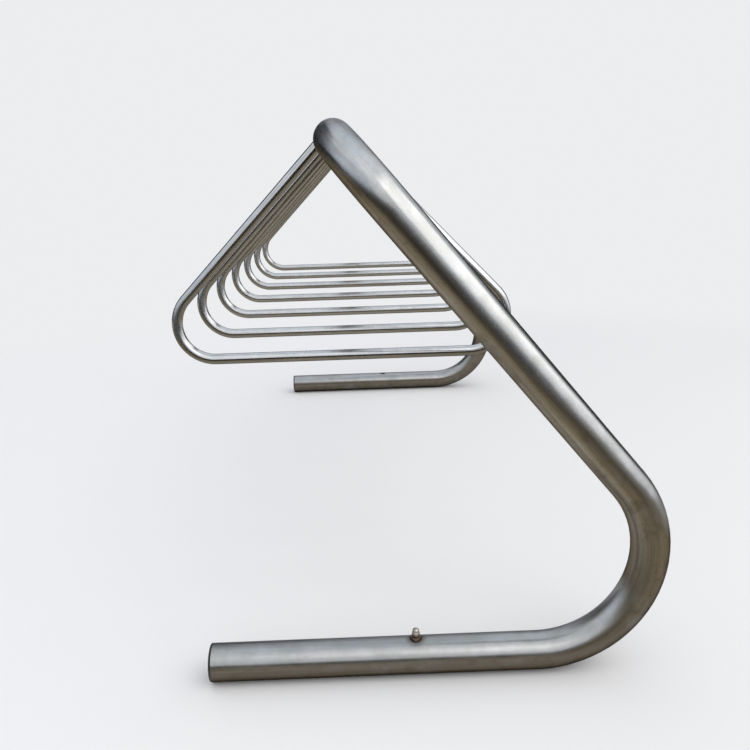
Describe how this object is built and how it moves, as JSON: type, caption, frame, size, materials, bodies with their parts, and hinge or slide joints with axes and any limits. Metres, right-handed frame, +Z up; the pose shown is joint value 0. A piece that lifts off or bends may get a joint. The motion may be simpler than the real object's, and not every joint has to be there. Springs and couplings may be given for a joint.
{
  "type": "bike rack",
  "caption": "Floor standing bike rack in satin stainless tube: one bent main tube with a row of triangular wheel hoops, black foot plugs and a ground anchor.",
  "frame": {"origin": "middle of the footprint, on the ground", "axes": "+X along the rack's ridge towards the foot that carries the anchor, +Z up, +Y from the free ends of the feet towards the outsides of the foot bends"},
  "size_m": [1.8, 0.8294, 0.91],
  "materials": {
    "tube_steel": "satin ground stainless",
    "hoop_steel": "satin ground stainless",
    "weld_steel": "brushed TIG weld",
    "plug_plastic": "black moulded plastic",
    "anchor_steel": "plain turned steel",
    "nut_steel": "polished stainless"
  },
  "bodies": {
    "root": {"main_tube": "tube_steel", "wheel_hoop_1": "hoop_steel", "wheel_hoop_2": "hoop_steel", "wheel_hoop_3": "hoop_steel", "wheel_hoop_4": "hoop_steel", "wheel_hoop_5": "hoop_steel", "wheel_hoop_6": "hoop_steel", "wheel_hoop_7": "hoop_steel", "weld_beads": "weld_steel", "foot_plug_1": "plug_plastic", "foot_plug_2": "plug_plastic", "spacer_sleeve": "anchor_steel", "anchor_stud": "anchor_steel", "cap_nut": "nut_steel"}
  },
  "joints": []
}
